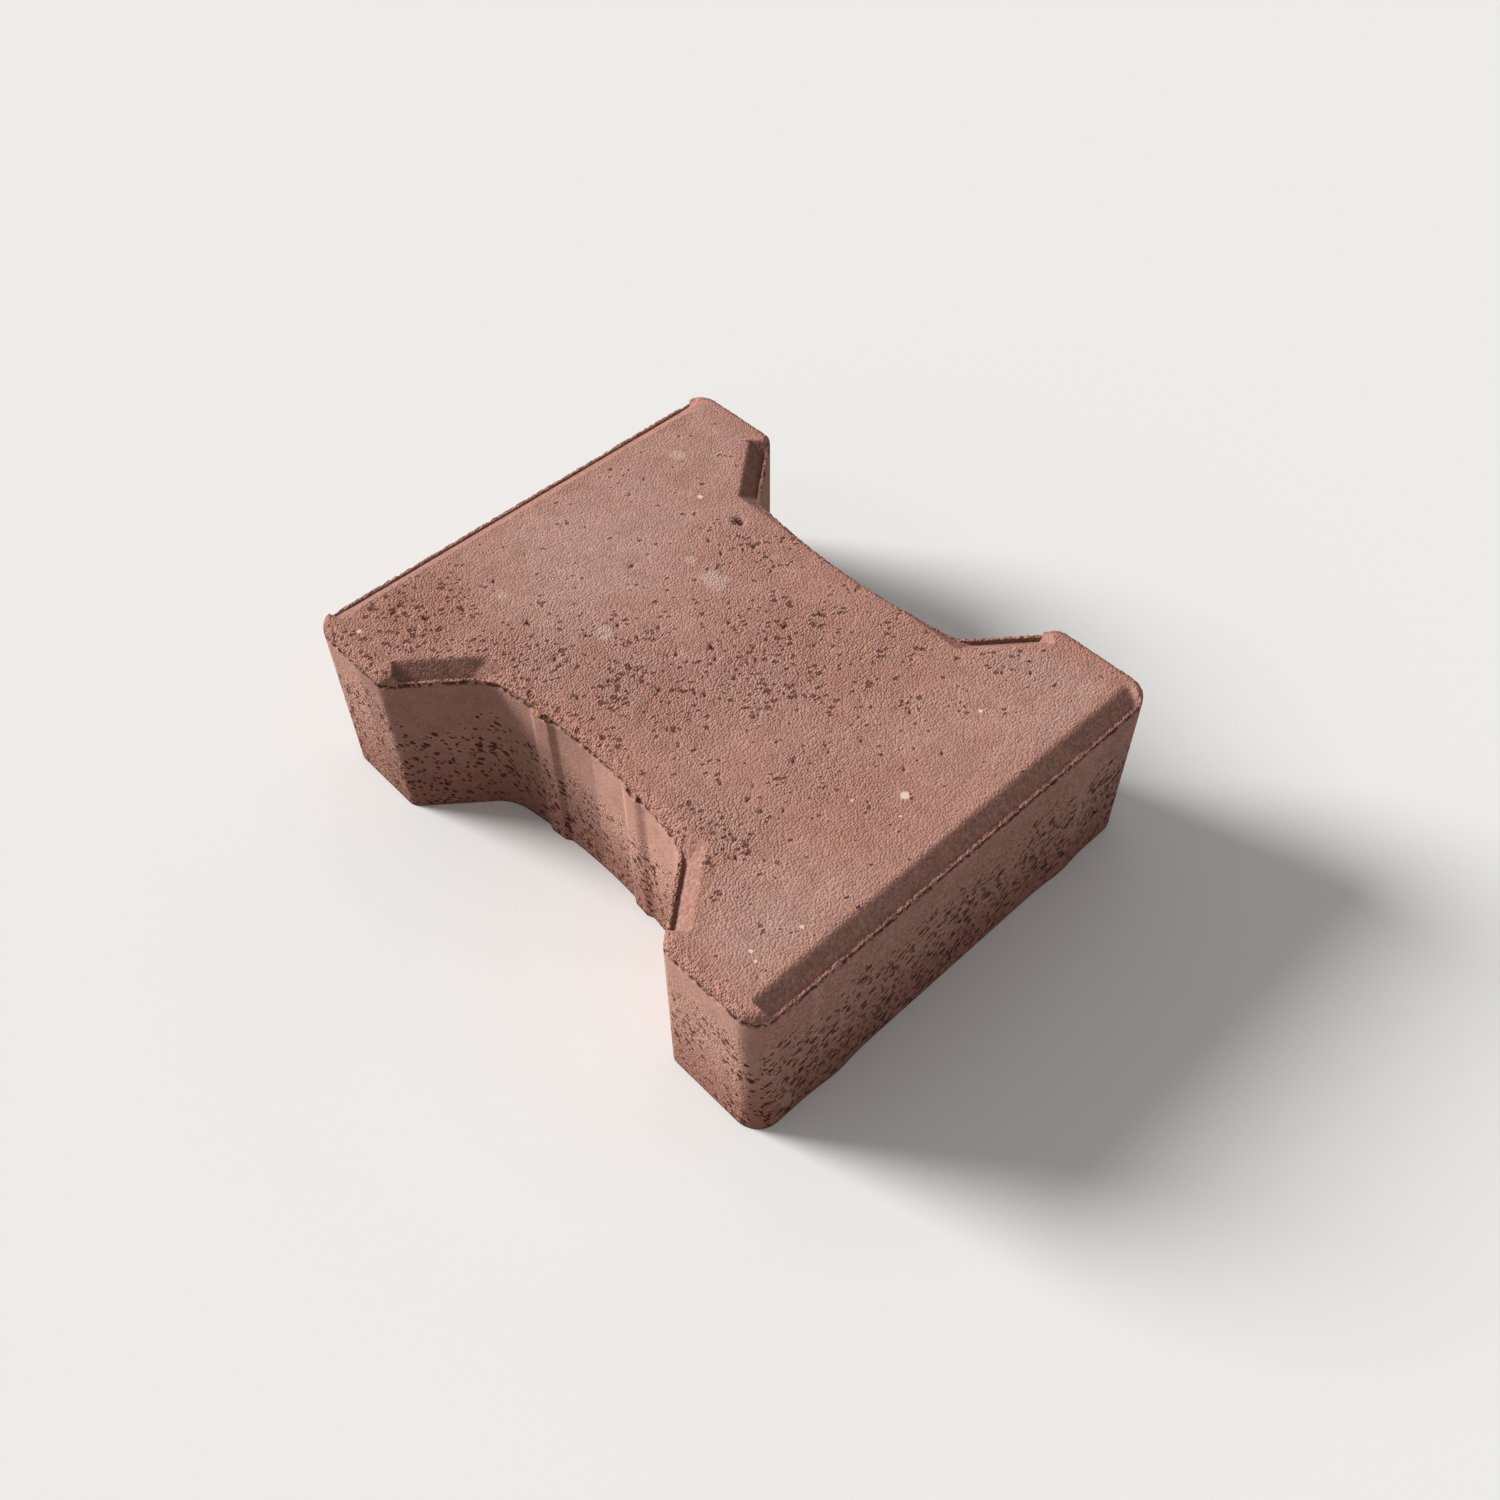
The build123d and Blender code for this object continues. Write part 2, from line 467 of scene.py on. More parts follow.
def coarse_share(x, y):
    """How grainy the walked-on face is at a place."""
    drift = pattern(Vector((x, y, 0)), ROUGH_DRIFT) * 0.25
    drift += pattern(Vector((x, y, SPOTS_LEVEL)), ROUGH_SPOTS) * 0.25
    return min(max(patch_share(ROUGH_PLACES, x, y) + drift, 0.0), 1.0)


def warm_share(x, y, outline):
    """How brown, instead of greyish, the walked-on face is at a place."""
    away = 0.62 * (1.0 - patch_share(GREYISH_PLACES, x, y))
    by_edge = 0.85 * smooth_step(*BROWN_BAND, outline)
    return max(away, by_edge, patch_share(BROWN_PLACES, x, y))


def shade_and_dirt_share(p, strip, upright, slant, end):
    """How much the painted shade and dirt on the slanted faces of the left end darken a place."""
    if p.x > 0 or slant > SHADE_AND_DIRT_REACH or end < SHADE_AND_DIRT_REACH:
        return 0.0
    if p.y > 0:
        return 0.75 * strip
    return max(0.88 * strip, 0.6 * upright)


def zones_at(p, normal):
    """How far each zone of the surface reaches at a place in millimetres, from 0 to 1."""
    end, _, slant, _ = inside_by(p.x, p.y)
    outline = inside_outline(p.x, p.y)
    strip, lip = bevel_shares(p.x, p.y, p.z)
    strip *= smooth_step(*SLOPE_UPPER, p.z) * smooth_step(*SLOPE_LOWER, p.z)
    upright = smooth_step(*WALL_TURN, abs(normal.z)) * smooth_step(*WALL_UPPER, p.z)
    upright *= 1.0 - strip
    rim = smooth_step(*RIM_INSIDE, outline) * smooth_step(*RIM_LOWER, p.z)
    lip *= rim
    rim *= 1.0 - strip
    row = smooth_step(*ROW_REACH, abs(p.z - RIM_FOOT + ROW_DROP))
    row *= smooth_step(*ROW_INSIDE, outline)

    # The upright faces: how porous they are, and the marks on the end wall and the waist
    end_wall = smooth_step(*END_TURN, abs(normal.x))
    flange_side = smooth_step(*SIDE_TURN, abs(normal.y)) * smooth_step(*SIDE_SPAN, abs(p.x))
    start = POROUS_HEIGHT + SIDE_RISE * flange_side + END_RISE * end_wall
    start += DRIFT_RISE * pattern(p, POROUS_DRIFT)
    if end_wall > 0.5:
        dense = mark_share(END_CROWDS, p.y, p.z)
    else:
        dense = mark_share(WAIST_CROWDS, p.x, p.z)
    return {
        "upright": upright,
        "strip": strip,
        "coarse": coarse_share(p.x, p.y),
        "rim": max(rim, lip),
        "crumbly": 0.45 * rim + 0.3 * lip,
        "row": row,
        "end_wall": end_wall,
        "porous": smooth_step(start, start - POROUS_FADE, p.z),
        "warm": warm_share(p.x, p.y, outline),
        "dense": dense * upright,
        "streak": mark_share(END_STREAKS, p.y, p.z) * end_wall if p.x > 0 else 0.0,
        "shade_and_dirt": shade_and_dirt_share(p, strip, upright, slant, end),
    }


# Relief in the mesh


def pore_share(p, zones):
    """How far a place lies in a pore of the upright faces, which the mould has drawn out."""
    way = Vector(END_DRAW if zones["end_wall"] > 0.5 else SIDE_DRAW).normalized()
    drawn = p - way * (p.dot(way) * PORE_SQUEEZE)
    hole = pattern(drawn, PORES) + 0.3 * pattern(p, PORE_DRIFT)
    edge = PORE_EDGE - POROUS_GAIN * zones["porous"] - DENSE_GAIN * zones["dense"]
    pore = smooth_step(edge, edge + PORE_SOFTNESS, hole) * zones["upright"]
    return pore * smooth_step(*PORES_BEGUN, zones["porous"])


def deep_pit_share(p):
    """How far a place lies in the one deep pit."""
    if p.z <= TOP - DEEP_PIT_BAND:
        return 0.0
    dx, dy = p.x - DEEP_PIT[0], p.y - DEEP_PIT[1]
    far = math.hypot(dx * 0.8 + dy * 0.3, dy * 1.3) + 0.5 * pattern(p, DEEP_PIT_RAGS)
    return smooth_step(*DEEP_PIT_EDGE, far)


def relief_at(p, zones, sizes):
    """Depth of the relief at a place, in metres, and how far the place lies in a hollow."""
    strip, upright, coarse = zones["strip"], zones["upright"], zones["coarse"]

    # Sand and soft lumps, and the larger pits
    sand = 0.5 + 0.5 * pattern(p, SAND)
    lumps = 0.5 + 0.5 * pattern(p, LUMPS)
    depth = sizes.grain_depth * (sand + 0.6 * lumps) * (0.18 + 0.82 * coarse)
    depth *= (1.0 - 0.75 * strip) * (1.0 - 0.6 * upright)
    speckle = pattern(p, PITS) + 0.25 * pattern(p, PIT_DRIFT)
    pit = smooth_step(*(edge - COARSE_GAIN * coarse for edge in PIT_EDGE), speckle)
    pit *= (1.0 - strip) * (1.0 - upright)

    # Crumbs out of the rims and the lips, with a row of pits along their foot
    crumb = max(0.0, pattern(p, CRUMBS) + CRUMB_SHARE)
    depth += sizes.crumb_depth * crumb * zones["crumbly"]
    row = zones["row"] * smooth_step(*ROW_EDGE, pattern(p, ROW_PITS))

    pore = pore_share(p, zones)
    deep = deep_pit_share(p)
    depth += sizes.pit_depth * max(pit, 0.8 * row) + sizes.pore_depth * pore
    depth += DEEP_PIT_DEPTH * MM * deep
    return depth, max(pit, row, pore, deep)


def press_relief(shape, sizes):
    """Moves the surface inwards by its relief, and keeps the zones for the material."""
    layers = {name: shape.verts.layers.float.new(name) for name in ZONES}
    moves = []
    for v in shape.verts:
        p = v.co / MM
        normal = v.normal.copy()
        zones = zones_at(p, normal)
        depth, zones["pit"] = relief_at(p, zones, sizes)
        for name, layer in layers.items():
            v[layer] = zones[name]
        if p.z > STILL_HEIGHT:
            moves.append((v, normal * -depth))
    for v, move in moves:
        v.co += move


# Cutting of the cast shape


def cut_levels(low, high, step):
    """Evenly spaced levels between two ends, set off a little from the middle."""
    count = max(1, round((high - low) / step))
    return [low + (high - low) * (i + 0.07) / count for i in range(1, count)]


def cut_into_cells(shape, cell, rim_cell):
    """Cuts the shape by planes across all three axes, more closely through the rim."""
    rim_low = (RIM_FOOT - RIM_BAND) * MM
    wall_levels = cut_levels(CAD_LOW.z, rim_low, cell * WALL_CELL)
    rim_levels = cut_levels(rim_low, CAD_HIGH.z, rim_cell)
    cuts = (
        cut_levels(CAD_LOW.x, CAD_HIGH.x, cell),
        cut_levels(CAD_LOW.y, CAD_HIGH.y, cell),
        wall_levels + [rim_low] + rim_levels,
    )
    for axis, levels in enumerate(cuts):
        across = Vector((0, 0, 0))
        across[axis] = 1.0
        for level in levels:
            bmesh.ops.bisect_plane(
                shape,
                geom=shape.verts[:] + shape.edges[:] + shape.faces[:],
                dist=CUT_TOLERANCE * MM,
                plane_co=across * level,
                plane_no=across,
            )


def drop_slivers(shape):
    """Dissolves the shortest edges away from the rims, and deletes the flaps this leaves."""

    def is_plain(v):
        height = v.co.z / MM
        return FOOT_BAND < height < RIM_FOOT - 1.5 or height > TOP - 0.05

    plain = [e for e in shape.edges if all(is_plain(v) for v in e.verts)]
    bmesh.ops.dissolve_degenerate(shape, dist=SHORTEST_EDGE * MM, edges=plain)
    flaps = [
        f for f in shape.faces
        if sum(e.is_boundary for e in f.edges) > 1 and min(v.co.z for v in f.verts) > FOOT_BAND * MM
    ]
    bmesh.ops.delete(shape, geom=flaps, context="FACES")


def refine_rims(shape):
    """Makes the mesh twice as fine along the rims and the lips."""
    fine = set()
    for v in shape.verts:
        x, y, z = v.co / MM
        if z > RIM_FOOT - FINE_DEPTH and inside_outline(x, y) < FINE_INSIDE:
            fine.add(v)
    edges = [e for e in shape.edges if e.verts[0] in fine and e.verts[1] in fine]
    bmesh.ops.subdivide_edges(shape, edges=edges, cuts=1, use_grid_fill=True)


def soft_groups(x, y, z):
    """Names of the places to soften to which a place in millimetres belongs."""
    end, _, slant, waist = inside_by(x, y)
    outline = inside_outline(x, y)
    if z > RIM_FOOT - SOFT_DEPTH and outline < BEVEL_WIDTH + 1.5:
        by_end = end < SOFT_BEVEL
        by_corner = by_end and abs(abs(y) - BEVEL_HALF_LENGTH + 1.5) < SOFT_CORNER
        past_slant = along_slant(x, y) - SLANT_LENGTH - 1.0
        by_runout = max(slant, waist) < SOFT_BEVEL and abs(past_slant) < SOFT_RUNOUT
        if outline < SOFT_RIM:
            yield "rims"
        if by_corner or (by_runout and (x > 0 or y > 0)):
            yield "bevel_ends"
        if x < 0 and end < SOFT_LIP:
            yield "far_lip"
        if x < 0 and by_end and abs(y) > BEVEL_HALF_LENGTH - SOFT_FAR_CORNER:
            yield "far_corners"
    elif WAIST_RIB_SPAN[0] < abs(x) < WAIST_RIB_SPAN[1] and waist < RIB_INSIDE:
        yield "waist_ribs"
    elif END_RIB_SPAN[0] < abs(y) < END_RIB_SPAN[1] and end < RIB_INSIDE:
        yield "end_ribs"


def soften(shape):
    """Takes the edge off the bevels, their ends and the spacer ribs."""
    groups = {name: [] for name in SOFT_ROUNDS}
    for v in shape.verts:
        for name in soft_groups(*(v.co / MM)):
            groups[name].append(v)
    for name, times in SOFT_ROUNDS.items():
        upwards = name not in ("waist_ribs", "end_ribs")
        for _ in range(times):
            bmesh.ops.smooth_vert(
                shape, verts=groups[name], factor=0.5,
                use_axis_x=True, use_axis_y=True, use_axis_z=upwards,
            )
    shape.normal_update()


def sliced_cast(mesh, cell, rim_cell):
    """The CAD shape, merged and cut into small cells, with its underside left whole."""
    shape = bmesh.new()
    shape.from_mesh(mesh)
    bmesh.ops.remove_doubles(shape, verts=shape.verts, dist=MERGE_DISTANCE * MM)
    bmesh.ops.dissolve_limit(
        shape, angle_limit=FLAT_ANGLE, verts=shape.verts, edges=shape.edges
    )
    under = [f for f in shape.faces if f.normal.z < -0.99]
    bmesh.ops.delete(shape, geom=under, context="FACES_ONLY")
    cut_into_cells(shape, cell, rim_cell)
    drop_slivers(shape)
    refine_rims(shape)
    soften(shape)
    foot = [e for e in shape.edges if e.is_boundary]
    bmesh.ops.holes_fill(shape, edges=foot, sides=0)
    bmesh.ops.triangulate(shape, faces=[f for f in shape.faces if len(f.verts) > 4])
    shape.normal_update()
    return shape


# Materials


def new_material(name):
    """A new material with its node tree and its shader."""
    material = bpy.data.materials.new(name)
    material.use_nodes = True
    nodes = material.node_tree.nodes
    shader = next(n for n in nodes if n.type == "BSDF_PRINCIPLED")
    return material, material.node_tree, shader


class Sheet:
    """Short ways to add nodes to one material."""

    def __init__(self, tree):
        self.tree = tree

    def add(self, kind, **settings):
        """A new node of a kind, with its settings."""
        node = self.tree.nodes.new(kind)
        for key, value in settings.items():
            setattr(node, key, value)
        return node

    def join(self, source, target):
        """Links an output to an input."""
        self.tree.links.new(source, target)

    def feed(self, socket, value):
        """Gives an input a link or a value. None leaves it as it is."""
        if isinstance(value, bpy.types.NodeSocket):
            self.join(value, socket)
        elif value is not None:
            socket.default_value = value

    def math(self, operation, first, second=None, clamp=False):
        """One operation on two values."""
        node = self.add("ShaderNodeMath", operation=operation, use_clamp=clamp)
        for socket, value in zip(node.inputs, (first, second)):
            self.feed(socket, value)
        return node.outputs[0]

    def gather(self, operation, values):
        """The same operation through any number of values, one after the other."""
        result = values[0]
        for value in values[1:]:
            result = self.math(operation, result, value)
        return result

    def times(self, *values):
        """Product of the values."""
        return self.gather("MULTIPLY", values)

    def most(self, *values):
        """Largest of the values."""
        return self.gather("MAXIMUM", values)

    def total(self, *values):
        """Sum of the values."""
        return self.gather("ADD", values)

    def less(self, value):
        """What is left of 1, never below 0."""
        return self.math("SUBTRACT", 1.0, value, clamp=True)

    def span(self, value, low, high, to_low=0.0, to_high=1.0):
        """Goes smoothly from to_low to to_high while the value goes from low to high."""
        node = self.add("ShaderNodeMapRange", interpolation_type="SMOOTHSTEP", clamp=True)
        self.feed(node.inputs["Value"], value)
        self.feed(node.inputs["From Min"], low)
        self.feed(node.inputs["From Max"], high)
        self.feed(node.inputs["To Min"], to_low)
        self.feed(node.inputs["To Max"], to_high)
        return node.outputs["Result"]

    def span_mm(self, value, limits, to_low=0.0, to_high=1.0):
        """The same while the value goes between two limits in millimetres."""
        low, high = limits
        return self.span(value, low * MM, high * MM, to_low, to_high)

    def mix(self, share, first, second, blend="MIX", kind="RGBA"):
        """Blends two colours or two places by a share."""
        node = self.add("ShaderNodeMix", data_type=kind, blend_type=blend)
        from_first, from_second, result = MIX_SOCKETS[kind]
        self.feed(node.inputs[0], share)
        self.feed(node.inputs[from_first], first)
        self.feed(node.inputs[from_second], second)
        return node.outputs[result]

    def tint(self, share, base, colour):
        """Lays a plain colour over a base by a share."""
        return self.mix(share, base, (*colour, 1.0))

    def grey(self, value):
        """A grey as bright as the value."""
        node = self.add("ShaderNodeCombineColor")
        for socket in node.inputs[:3]:
            self.feed(socket, value)
        return node.outputs[0]

    def zone(self, name):
        """How far a zone of the mesh reaches."""
        return self.add("ShaderNodeAttribute", attribute_name=name).outputs["Fac"]

    def drawn_out(self, place, direction, stretch):
        """The place squeezed along a direction, so that a pattern on it comes out drawn out."""
        node = self.add("ShaderNodeMapping", vector_type="TEXTURE")
        turn = Vector(direction).to_track_quat("X", "Z")
        self.feed(node.inputs["Vector"], place)
        node.inputs["Rotation"].default_value = turn.to_euler()
        node.inputs["Scale"].default_value = (stretch, 1.0, 1.0)
        return node.outputs[0]

    def noise(self, place, size, detail=2.0, roughness=0.5, twist=0.0):
        """Noise whose blobs measure about size, in millimetres."""
        node = self.add("ShaderNodeTexNoise")
        self.feed(node.inputs["Vector"], place)
        node.inputs["Scale"].default_value = 1.0 / (size * MM)
        node.inputs["Detail"].default_value = detail
        node.inputs["Roughness"].default_value = roughness
        node.inputs["Distortion"].default_value = twist
        return node.outputs["Fac"]

    def beads(self, place, size):
        """Packed beads: a dome for each, the gap between them and a tone of its own."""
        node = self.add("ShaderNodeTexVoronoi")
        self.feed(node.inputs["Vector"], place)
        node.inputs["Scale"].default_value = 1.0 / (size * MM)
        gap = node.outputs["Distance"]
        tone = self.add("ShaderNodeSeparateColor")
        self.join(node.outputs["Color"], tone.inputs[0])
        return {"gap": gap, "dome": self.span(gap, 0.95, 0.0), "tone": tone.outputs[0]}

    def dots(self, place, size, share, ragged, radius):
        """Ragged dots in a share of the cells of a grid without order, larger where they crowd."""
        cells = self.beads(place, size)
        here = self.above(share, cells["tone"], 0.3)
        reach = self.total(self.times(here, radius + 0.15), self.times(ragged, 0.8), -0.55)
        return self.above(reach, cells["gap"], 0.07)

    def above(self, value, edge, soft):
        """1 where a value is over an edge, 0 below it."""
        return self.math("DIVIDE", self.math("SUBTRACT", value, edge), soft, clamp=True)

    def near(self, place, centre, reach, soft):
        """1 close to a point in millimetres and 0 beyond its reach."""
        node = self.add("ShaderNodeVectorMath", operation="DISTANCE")
        self.feed(node.inputs[0], place)
        node.inputs[1].default_value = [c * MM for c in centre]
        return self.span(node.outputs["Value"], reach * MM, reach * MM * soft)


def floor_material(seen, bounce):
    """Pale to the camera, with a duller bounce for the light under the stone's faces."""
    material, tree, shader = new_material("pale_floor")
    s = Sheet(tree)
    to_camera = s.add("ShaderNodeLightPath").outputs["Is Camera Ray"]
    s.join(s.mix(to_camera, (*bounce, 1.0), (*seen, 1.0)), shader.inputs["Base Color"])
    shader.inputs["Roughness"].default_value = 0.95
    shader.inputs["Specular IOR Level"].default_value = 0.1
    return material


def plain_concrete(s, height, zones, colours, drift):
    """Colour of the concrete without its holes: broad patches, dirt and single beads of sand."""
    clouds = s.total(
        s.times(drift["broad"], 1.3), s.times(drift["patches"], 0.5), s.times(zones["warm"], -1.0)
    )
    face = s.mix(
        s.span(clouds, -0.2, 1.1), (*colours.terracotta, 1.0), (*colours.greyish_pink, 1.0)
    )
    wall = s.mix(zones["porous"], (*colours.wall_pink, 1.0), (*colours.wall_red, 1.0))
    # Darker towards the foot: partly the walls' own colour, partly painted shade near the ground
    wall = s.tint(s.span_mm(height, FOOT_SHADE, 0.0, 0.75), wall, colours.foot_brown_and_shade)
    wall = s.tint(s.times(zones["streak"], 0.55), wall, colours.rubbed_pink)
    base = s.mix(zones["upright"], face, wall)
    base = s.tint(zones["strip"], base, colours.strip_brown)
    # Painted shade in the notches of the left end, with some dirt, on their slanted walls and slopes
    base = s.tint(s.times(zones["shade_and_dirt"], 0.5), base, colours.shade_and_dirt_brown)

    # Single beads stand out more where the light is dim
    dim = s.most(zones["end_wall"], zones["strip"])
    bead_tone = s.math("SUBTRACT", drift["beads"]["tone"], 0.5)
    speckle = s.times(bead_tone, s.span(dim, 0.0, 1.0, 0.22, 0.5))
    mottle = s.total(s.times(drift["patches"], 0.5), speckle, 0.74)
    return s.mix(1.0, base, s.grey(mottle), "MULTIPLY")


def face_pits(s, place, zones, drift):
    """Pits in the walked-on face, more of them where it is coarse."""
    open_face = s.less(s.most(zones["upright"], s.times(zones["strip"], 0.75)))
    crowd = s.total(s.times(drift["patches"], 2.5), s.times(zones["coarse"], 0.6), -1.28)
    pits = s.most(*(
        s.dots(
            s.drawn_out(place, FACE_DRAW, stretch), spacing, s.total(crowd, more),
            drift["blots"], radius,
        )
        for stretch, spacing, more, radius in FACE_DOTS
    ))
    return s.times(pits, open_face)


def wall_pores(s, place, zones, drift):
    """Drawn-out pores of the upright faces, more of them low down, and the streaks they follow.

    The directions of the end wall and of the long sides meet along a ragged seam.
    """
    seam = s.above(s.total(zones["end_wall"], s.times(drift["blots"], 0.5)), 0.75, 0.01)
    crowd = s.total(
        s.times(drift["patches"], 2.2), s.times(zones["porous"], 0.55),
        s.times(zones["dense"], 0.35), s.times(zones["end_wall"], 0.16), -1.1,
    )
    sides, ends = (s.drawn_out(place, way, WALL_STRETCH) for way in (SIDE_DRAW, END_DRAW))
    drawn = s.mix(seam, sides, ends, kind="VECTOR")
    streaks = s.noise(drawn, STREAKS, 2, 0.55, 0.15)
    pores = s.most(*(
        s.dots(drawn, spacing, s.total(crowd, more), streaks, radius)
        for spacing, more, radius in WALL_DOTS
    ))
    return s.times(pores, zones["upright"], s.span(zones["porous"], 0.0, 0.2)), streaks


def rim_row(s, height, across, zones, drift):
    """A ragged row of pits under the rims and the lips."""
    level = s.total(height, s.span_mm(across, FAR_END, 0.0, FAR_ROW_DROP * MM))
    row = s.times(s.span_mm(level, ROW_FOOT), s.span_mm(level, ROW_HEAD), zones["upright"])
    return s.times(row, s.above(drift["blots"], 0.49, 0.07))


def concrete_material(colours):
    """Pigmented concrete: beads of sand, pits, pores, colour drift and pale grains."""
    material, tree, shader = new_material("red_brown_concrete")
    s = Sheet(tree)
    place = s.add("ShaderNodeTexCoord").outputs["Object"]
    split = s.add("ShaderNodeSeparateXYZ")
    s.join(place, split.inputs[0])
    across, height = split.outputs["X"], split.outputs["Z"]
    zones = {name: s.zone(name) for name in ZONES}
    drift = {
        "broad": s.noise(place, BROAD_CLOUDS, 3, 0.6, 0.4),
        "patches": s.noise(place, PATCHES, 3, 0.6),
        "blots": s.noise(place, BLOTS, 2, 0.55, 0.4),
        "beads": s.beads(place, BEADS),
    }

    # Colour: the plain concrete, painted shade in its holes, the pale grains and the pale patches
    base = plain_concrete(s, height, zones, colours, drift)
    pits = face_pits(s, place, zones, drift)
    pores, streaks = wall_pores(s, place, zones, drift)
    row = rim_row(s, height, across, zones, drift)
    hollow = s.most(s.times(pits, 0.85), pores, row, s.span(zones["pit"], 0.2, 0.9))
    # Painted shade darkens the pits, the pores, the row under the rims and the pits of the mesh
    base = s.tint(s.times(hollow, 0.9), base, colours.hollow_shade)
    grains = s.most(*(
        s.near(place, (x, y, TOP - GRAIN_SINK), radius, 0.5) for x, y, radius in PALE_GRAINS
    ))
    base = s.tint(s.times(grains, 0.85), base, colours.pale_grain)
    pale = s.most(*(s.near(place, (x, y, TOP), reach, 0.2) for x, y, reach in PALE_PATCHES))
    pale = s.above(s.total(pale, drift["patches"], drift["blots"]), 1.3, 0.4)
    base = s.tint(s.times(pale, 0.6), base, colours.pale_patch)
    s.join(base, shader.inputs["Base Color"])
    shader.inputs["Roughness"].default_value = 0.92
    shader.inputs["Specular IOR Level"].default_value = 0.2

    # Fine relief below the size of the mesh: beads stand out where it is coarse and lie
    # low on the slopes and the smooth upper walls
    smooth_wall = s.times(zones["upright"], s.span(zones["porous"], 0.9, 0.0))
    calm = s.most(
        s.times(zones["strip"], 0.6), s.times(smooth_wall, 0.8), s.times(zones["upright"], 0.3)
    )
    rough = s.most(zones["coarse"], s.times(zones["rim"], 1.2))
    bead_height = s.times(
        drift["beads"]["dome"],
        s.span(rough, 0.0, 1.2, 0.6, 1.45),
        s.span(calm, 0.0, 1.0, 1.0, 0.1),
    )
    relief = s.total(
        s.times(bead_height, s.less(grains)),
        s.times(drift["blots"], 0.2),
        s.times(streaks, zones["upright"], zones["porous"], 0.7),
        s.times(hollow, -1.3),
    )
    bump = s.add("ShaderNodeBump")
    bump.inputs["Strength"].default_value = 1.0
    bump.inputs["Distance"].default_value = BEAD_RELIEF * MM
    s.join(relief, bump.inputs["Height"])
    s.join(bump.outputs[0], shader.inputs["Normal"])
    return material


# Operators


def mesh_of(name, shape, material):
    """A mesh with one material, made of a shape that isn't needed afterwards."""
    mesh = bpy.data.meshes.new(name)
    shape.to_mesh(mesh)
    shape.free()
    mesh.materials.append(material)
    return mesh


def add_object(context, name, data):
    """A new object at the origin of the scene."""
    made = bpy.data.objects.new(name, data)
    context.scene.collection.objects.link(made)
    return made


def towards(azimuth, elevation):
    """Direction out to a side and up from the horizon. At azimuth 0 it points along -Y."""
    level = math.cos(elevation)
    return Vector((math.sin(azimuth) * level, -math.cos(azimuth) * level, math.sin(elevation)))


class PAVING_OT_cast_stone(bpy.types.Operator):
    """Makes the cast stone with its grain, pits, crumbly rims and lips"""

    bl_idname = "paving.cast_stone"
    bl_label = "Cast stone"

    def execute(self, context):
        sizes = context.scene.stone_sizes
        shape = sliced_cast(STONE_NODE.data, sizes.cell, sizes.rim_cell)
        press_relief(shape, sizes)
        triangles = sum(len(f.verts) - 2 for f in shape.faces)
        open_edges = sum(not e.is_manifold for e in shape.edges)
        if open_edges or triangles >= MOST_TRIANGLES:
            raise RuntimeError(f"{triangles} triangles and {open_edges} open edges in the stone")
        mesh = mesh_of("cast_stone", shape, concrete_material(context.scene.stone_colours))
        for polygon in mesh.polygons:
            polygon.use_smooth = True
        stone = add_object(context, "cast_stone", mesh)
        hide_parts("paving_stone")
        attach(stone, "root")
        return {"FINISHED"}


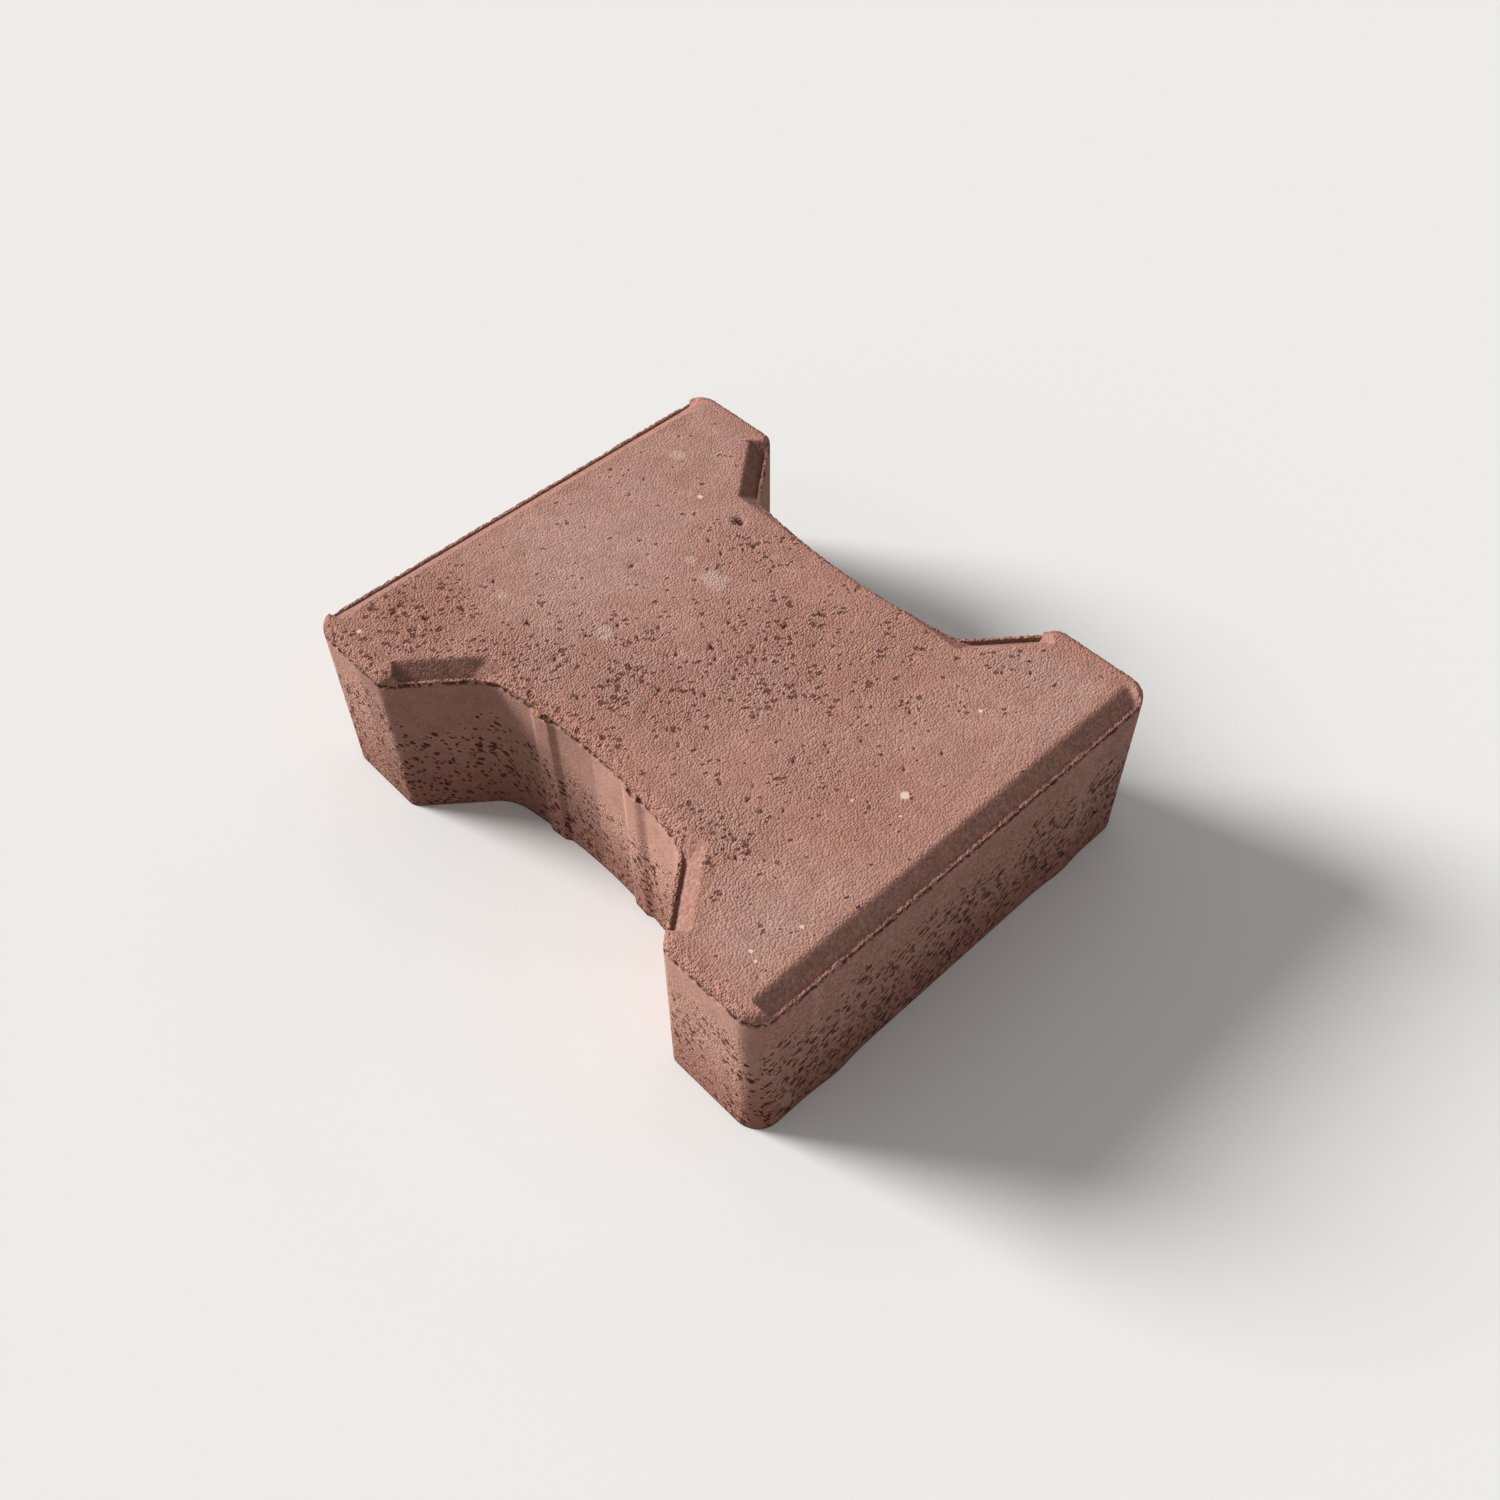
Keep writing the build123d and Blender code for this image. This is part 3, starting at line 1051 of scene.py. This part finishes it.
class PAVING_OT_stage(bpy.types.Operator):
    """Sets up the pale floor, the soft light and the camera"""

    bl_idname = "paving.stage"
    bl_label = "Stage"

    def execute(self, context):
        studio = context.scene.studio_settings
        shape = bmesh.new()
        bmesh.ops.create_grid(shape, x_segments=1, y_segments=1, size=FLOOR_REACH)
        material = floor_material(studio.floor_colour, studio.floor_bounce)
        floor = add_object(context, "pale_floor", mesh_of("pale_floor", shape, material))

        lamp = bpy.data.lights.new("soft_key", "SUN")
        lamp.energy = studio.key_strength
        lamp.angle = studio.key_softness
        key = add_object(context, "soft_key", lamp)
        shining = towards(studio.key_azimuth, studio.key_elevation)
        key.rotation_euler = shining.to_track_quat("Z", "Y").to_euler()

        world = bpy.data.worlds.new("even_fill")
        context.scene.world = world
        world.use_nodes = True
        backdrop = world.node_tree.nodes["Background"]
        backdrop.inputs["Color"].default_value = (1.0, 1.0, 1.0, 1.0)
        backdrop.inputs["Strength"].default_value = studio.fill_strength

        lens = bpy.data.cameras.new("photo_view")
        lens.sensor_width = SENSOR_WIDTH
        lens.lens = studio.lens
        lens.clip_start = NEAREST_VIEW
        camera = add_object(context, "photo_view", lens)
        camera.location = studio.place
        back = towards(studio.azimuth, studio.elevation)
        aim = back.to_track_quat("Z", "Y") @ Quaternion((0, 0, 1), studio.roll)
        camera.rotation_euler = aim.to_euler()
        context.scene.camera = camera
        context.scene.view_settings.view_transform = "Standard"
        return {"FINISHED"}


class PAVING_PT_sidebar(bpy.types.Panel):
    """Lists the stone's sizes, its colours, the studio and the operators"""

    bl_idname = "PAVING_PT_sidebar"
    bl_label = "Paving stone"
    bl_space_type = "VIEW_3D"
    bl_region_type = "UI"
    bl_category = "Paving"

    def draw(self, context):
        for group in ("stone_sizes", "stone_colours", "studio_settings"):
            settings = getattr(context.scene, group)
            box = self.layout.box()
            for key in settings.__annotations__:
                box.prop(settings, key)
        self.layout.operator("paving.cast_stone")
        self.layout.operator("paving.stage")


CLASSES = (
    StoneSizes,
    StoneColours,
    StudioSettings,
    PAVING_OT_cast_stone,
    PAVING_OT_stage,
    PAVING_PT_sidebar,
)


def register():
    """Adds the settings, the operators and the sidebar."""
    for item in CLASSES:
        bpy.utils.register_class(item)
    bpy.types.Scene.stone_sizes = bpy.props.PointerProperty(type=StoneSizes)
    bpy.types.Scene.stone_colours = bpy.props.PointerProperty(type=StoneColours)
    bpy.types.Scene.studio_settings = bpy.props.PointerProperty(type=StudioSettings)


def unregister():
    """Takes them away again."""
    del bpy.types.Scene.studio_settings
    del bpy.types.Scene.stone_colours
    del bpy.types.Scene.stone_sizes
    for item in reversed(CLASSES):
        bpy.utils.unregister_class(item)


def main():
    """Makes the stone and the stage."""
    register()
    bpy.ops.paving.cast_stone()
    bpy.ops.paving.stage()


if __name__ == "__main__":
    main()
